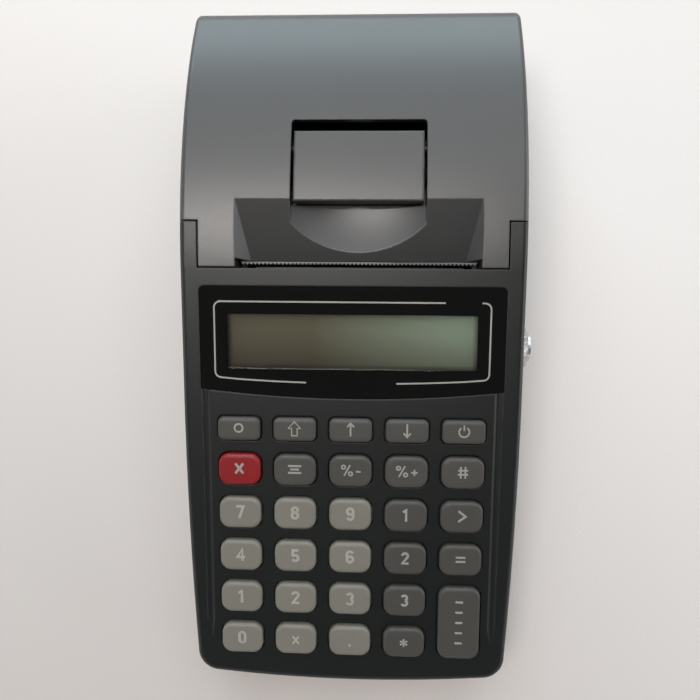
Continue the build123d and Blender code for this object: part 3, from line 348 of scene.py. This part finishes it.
def floor_paper():
    """White paper with painted shade towards the front left that gives way to brighter paper
    towards the rear right.
    """
    material, tree, shader = new_material("floor_paper")
    run = tree.nodes.new("ShaderNodeVectorMath")
    run.operation = "DOT_PRODUCT"
    run.inputs[1].default_value = PAPER_RUN
    tree.links.new(coordinates(tree, "Object"), run.inputs[0])
    lit = span(tree, run.outputs["Value"], 0, 1, *PAPER_SPAN)
    tree.links.new(
        blend_colours(tree, lit, PAPER_SHADED, PAPER_LIT), shader.inputs["Base Color"]
    )
    add_bump(tree, shader, noise(tree, PAPER_SCALE), PAPER_GRAIN)
    set_shader(shader, Roughness=0.9, Specular_IOR_Level=0.1)
    return material


bpy.ops.mesh.primitive_plane_add(size=FLOOR_SIZE, location=(0, 0, 0))
floor = bpy.context.object
floor.name = "floor"
floor.data.materials.append(floor_paper())


# ---- Lamps and world ---------------------------------------------------------------------------
def area_light(name, place, aim, size, power, colour):
    """A soft rectangular lamp that points at a place."""
    data = bpy.data.lights.new(name, "AREA")
    data.shape = "RECTANGLE"
    data.size, data.size_y = size
    data.energy = power
    data.color = colour
    lamp = bpy.data.objects.new(name, data)
    lamp.location = place
    direction = Vector(aim) - Vector(place)
    lamp.rotation_euler = direction.to_track_quat("-Z", "Y").to_euler()
    scene.collection.objects.link(lamp)


LAMP_HEIGHT = 1.25
WALL_SIZE = (1.6, 0.8)
area_light(
    "lamp", (-0.22, 0.03, LAMP_HEIGHT), (-0.22, 0.03, 0), (0.70, 0.42), 8.0, (1.0, 0.95, 0.91)
)
area_light(
    "ceiling", (0.0, 0.95, LAMP_HEIGHT), (0.0, 0.95, 0), (1.9, 1.3), 12.0, (0.97, 0.98, 1.0)
)
area_light("window", (-0.10, 2.10, 0.75), (0, 0.05, 0.03), (2.6, 0.9), 26.0, (0.74, 0.92, 1.0))
area_light("left wall", (-1.60, 0.15, 0.45), (0, 0.05, 0.02), WALL_SIZE, 3.5, (1.0, 0.97, 0.95))
area_light("right wall", (1.60, 0.15, 0.45), (0, 0.05, 0.02), WALL_SIZE, 9.0, (1.0, 0.98, 0.97))

SKY_LIGHT = 0.08
WALL_PALE = 0.75
WALL_TOP = (0.30, 0.55)  # between these heights of view the walls fade out


def studio_world():
    """A dim sky, with pale walls round the floor for the eye and for reflections only."""
    world = bpy.data.worlds.new("studio")
    world.use_nodes = True
    tree = world.node_tree
    rays = tree.nodes.new("ShaderNodeLightPath").outputs
    seen = rays["Is Camera Ray"]
    for kind in ("Is Glossy Ray", "Is Transmission Ray"):
        seen = calculate(tree, "MAXIMUM", seen, rays[kind])
    height = axes_of(tree, coordinates(tree, "Generated"))["Z"]
    walls = calculate(tree, "MULTIPLY", seen, span(tree, height, WALL_PALE, 0.0, *WALL_TOP))
    sky = tree.nodes["Background"]
    sky.inputs["Color"].default_value = (1.0, 0.97, 0.965, 1)
    tree.links.new(calculate(tree, "ADD", walls, SKY_LIGHT), sky.inputs["Strength"])
    return world


scene.world = studio_world()

# ---- Flat drawings -----------------------------------------------------------------------------
INK = 0.00003  # thickness of a print
INK_STEP = 0.0000003  # keeps strokes that cross from lying in one plane


def flat_shape(outlines):
    """A print of flat outlines, each a list of (x, y) in mm; each next one lies a hair higher."""
    vertices, faces = [], []
    for order, outline in enumerate(outlines):
        first = len(vertices)
        count = len(outline)
        top = INK / 2 + order * INK_STEP
        vertices += [(x * MM, y * MM, top) for x, y in outline]
        vertices += [(x * MM, y * MM, -INK / 2) for x, y in outline]
        faces.append(list(range(first, first + count)))
        faces.append(list(range(first + 2 * count - 1, first + count - 1, -1)))
        for index in range(count):
            corner, following = first + index, first + (index + 1) % count
            faces.append([corner, corner + count, following + count, following])
    mesh = bpy.data.meshes.new("shape")
    mesh.from_pydata(vertices, [], faces)
    mesh.update()
    piece = bpy.data.objects.new("shape", mesh)
    scene.collection.objects.link(piece)
    return piece


def finish_print(piece, name, place, material, body):
    """Names a flat drawing, lays it on the slope and lets it ride."""
    piece.name = name
    piece.data.name = name
    piece.data.transform(place)
    piece.data.materials.append(material)
    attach(piece, body)


def bar(x, y, width, height):
    """A rectangle round a middle."""
    return [
        (x - width / 2, y - height / 2), (x + width / 2, y - height / 2),
        (x + width / 2, y + height / 2), (x - width / 2, y + height / 2),
    ]


def stroke(points, width, closed=False):
    """Quadrilaterals along a path, which share their mitred ends."""
    path = [Vector(point) for point in points]
    last = len(path) - 1
    rims = []
    for index, point in enumerate(path):
        runs = []
        if index or closed:
            runs.append((point - path[index - 1]).normalized())
        if index < last or closed:
            runs.append((path[(index + 1) % len(path)] - point).normalized())
        across = Vector((-sum(run.y for run in runs), sum(run.x for run in runs))).normalized()
        reach = width / 2 / max(0.6, across.dot(Vector((-runs[0].y, runs[0].x))))
        rims.append((point + across * reach, point - across * reach))
    if closed:
        rims.append(rims[0])
    return [
        [tuple(low), tuple(next_low), tuple(next_high), tuple(high)]
        for (high, low), (next_high, next_low) in zip(rims, rims[1:])
    ]


def arc(radius, start, end, x=0.0, y=0.0, steps=18):
    """Points along an arc, angles in degrees."""
    turns = [radians(start + (end - start) * step / steps) for step in range(steps + 1)]
    return [(x + radius * cos(turn), y + radius * sin(turn)) for turn in turns]


def moved(shapes, x, y, scale=1.0):
    """Flat outlines, scaled about the origin and then shifted."""
    return [[(x + scale * px, y + scale * py) for px, py in outline] for outline in shapes]


def turned(shapes):
    """Flat outlines turned upside down."""
    return [[(-px, -py) for px, py in outline] for outline in shapes]


# ---- Key legends, drawn in mm about the middle of a key ----------------------------------------
BOLD = 0.7  # width of the strokes of a number
FINE = 0.42  # width of the strokes of a small sign and of the frame line
LOOP = stroke(arc(0.77, 0, 340, 0, -0.68, 17), BOLD, closed=True)
SIX = LOOP + stroke([(-0.77, -0.68), (-0.77, 0.68)] + arc(0.77, 180, 20, 0, 0.68), BOLD)
FIGURES = {
    0: stroke(arc(0.75, 0, 180, 0, 0.7) + arc(0.75, 180, 360, 0, -0.7), BOLD, closed=True),
    1: stroke([(-0.75, 0.85), (0.1, 1.45), (0.1, -1.75)], BOLD),
    2: stroke(arc(0.75, 175, -30, 0, 0.7) + [(-0.72, -1.45), (0.98, -1.45)], BOLD),
    3: stroke(arc(0.7, 160, -75, 0, 0.75), BOLD) + stroke(arc(0.75, 80, -160, 0, -0.7), BOLD),
    4: stroke([(0.4, -1.75), (0.4, 1.45), (-0.9, -0.75), (1.1, -0.75)], BOLD),
    5: stroke([(0.85, 1.45), (-0.6, 1.45), (-0.68, 0.1)] + arc(0.77, 125, -155, 0, -0.65), BOLD),
    6: SIX,
    7: stroke([(-1.0, 1.45), (0.85, 1.45), (-0.2, -1.75)], BOLD),
    8: stroke(arc(0.68, 0, 340, 0, 0.77, 17), BOLD, closed=True) + LOOP,
    9: turned(SIX),
}
NUMBER_SCALE = 1.06  # of the light keys' numbers to those of the department keys
CROSS = stroke([(-0.85, -1.1), (0.85, 1.1)], 0.55) + stroke([(-0.85, 1.1), (0.85, -1.1)], 0.55)
MINUS = [bar(0, 0, 1.3, 0.5)]
PLUS = [bar(0, 0, 1.7, 0.5), bar(0, 0, 0.5, 1.7)]
PER_CENT = (
    stroke(arc(0.5, 0, 330, -0.95, 0.9, 11), FINE, closed=True)
    + stroke(arc(0.5, 0, 330, 0.95, -0.9, 11), FINE, closed=True)
    + stroke([(-0.8, -1.5), (0.8, 1.5)], FINE)
)
RAYS = [
    stroke([(0, 0), (1.15 * cos(radians(turn)), 1.15 * sin(radians(turn)))], 0.5)[0]
    for turn in range(30, 390, 60)
]
BROAD_ARROW = [
    (-0.75, -1.9), (-0.75, 0.1), (-1.65, 0.1), (0, 1.95), (1.65, 0.1), (0.75, 0.1), (0.75, -1.9)
]
ARROW = stroke([(0, -1.8), (0, 1.6)], 0.45) + stroke([(-0.95, 0.7), (0, 1.8), (0.95, 0.7)], FINE)

LEGENDS = {
    f"key_{number}": moved(shapes, 0, 0, NUMBER_SCALE) for number, shapes in FIGURES.items()
}
LEGENDS |= {
    "key_times": moved(CROSS, 0, -0.4),
    "key_point": [bar(0, -1.5, 0.62, 0.62)],
    "key_star": moved(RAYS, 0, -0.3),
    "key_discount": moved(PER_CENT, -0.9, 0) + moved(MINUS, 2.1, -0.3),
    "key_surcharge": moved(PER_CENT, -1.2, 0) + moved(PLUS, 2.1, -0.3),
    "key_department_1": FIGURES[1],
    "key_department_2": FIGURES[2],
    "key_department_3": FIGURES[3],
    "key_subtotal": [bar(0, 0.6, 2.6, 0.55), bar(0, -0.6, 2.6, 0.55)],
    "key_lookup": [
        bar(0, 0.55, 2.7, 0.45), bar(0, -0.55, 2.7, 0.45),
        bar(-0.6, 0, 0.45, 3.2), bar(0.6, 0, 0.45, 3.2),
    ],
    "key_shift": stroke(BROAD_ARROW, 0.3, closed=True),
    "key_up": ARROW,
    "key_down": turned(ARROW),
    "key_power": stroke(arc(1.35, 125, 415, 0, -0.15), FINE) + stroke([(0, 0.2), (0, 1.75)], FINE),
    "key_clear": stroke(arc(1.1, 0, 340, steps=17), 0.48, closed=True),
    "key_void": moved(CROSS, 0, 0, 1.25),
    "key_price": [bar(0, 0.95, 3.6, 0.55), bar(0, 0, 2.4, 0.55), bar(0, -0.95, 3.6, 0.55)],
    "key_payment": stroke([(-0.9, 1.5), (1.0, 0), (-0.9, -1.5)], 0.6),
    "key_total": [bar(0, 6.0 - 3.0 * step, 2.0, 0.6) for step in range(5)],
}
LIGHT_KEYS = {f"key_{number}" for number in FIGURES} | {"key_times", "key_point"}


def key_top(node):
    """Middle of a key's top face."""
    low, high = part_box(node)
    top = max(vertex.co.dot(SLOPE_UP) for vertex in nodes[node].data.vertices)
    middle = (low + high) / 2
    return middle + SLOPE_UP * (top - middle.dot(SLOPE_UP))


for node, shapes in LEGENDS.items():
    light = node in LIGHT_KEYS
    finish_print(
        flat_shape(shapes), f"legend_{node[4:]}", on_slope(key_top(node)),
        ink_light if light else ink_grey, node,
    )

# ---- Printed frame line on the display lens, in mm about its middle ----------------------------
LINE_MIDDLE = 96.71  # up the slope from its front edge
LINE_LIFT = 0.015  # half the thickness of the print
LINE_HALF = 36.28
LINE_LOW = 86.56 - LINE_MIDDLE
LINE_HIGH = 106.86 - LINE_MIDDLE
LINE_BOW = 1.3  # the lower line dips by this much in its middle
LINE_CORNER = 1.6
LINE_STEPS = (12, 15, 20, 25, 30)  # the lower line's points on each side, from its gap outwards
UPPER_GAP = (24.5, 33.9)


def low_line(x):
    """A point of the bowed lower line."""
    return (x, LINE_LOW - LINE_BOW * (1 - (x / LINE_HALF) ** 2))


def line_corner(side, high, start, end):
    """A rounded corner of the line."""
    x = side * (LINE_HALF - LINE_CORNER)
    y = LINE_HIGH - LINE_CORNER if high else LINE_LOW + LINE_CORNER
    return arc(LINE_CORNER, start, end, x, y, 6)


inner_half = LINE_HALF - LINE_CORNER
left_line = (
    [(UPPER_GAP[0], LINE_HIGH), (-inner_half, LINE_HIGH)]
    + line_corner(-1, True, 90, 180)
    + line_corner(-1, False, 180, 262)
    + [(-inner_half, LINE_LOW)]
    + [low_line(-x) for x in reversed(LINE_STEPS)]
)
right_line = (
    [low_line(x) for x in LINE_STEPS]
    + [(inner_half, LINE_LOW)]
    + line_corner(1, False, 278, 360)
    + line_corner(1, True, 0, 90)
    + [(UPPER_GAP[1], LINE_HIGH)]
)
finish_print(
    flat_shape(stroke(left_line, FINE) + stroke(right_line, FINE)), "lens_frame_line",
    on_slope(slope_point(LINE_MIDDLE, LINE_LIFT)), ink_frame, "base",
)
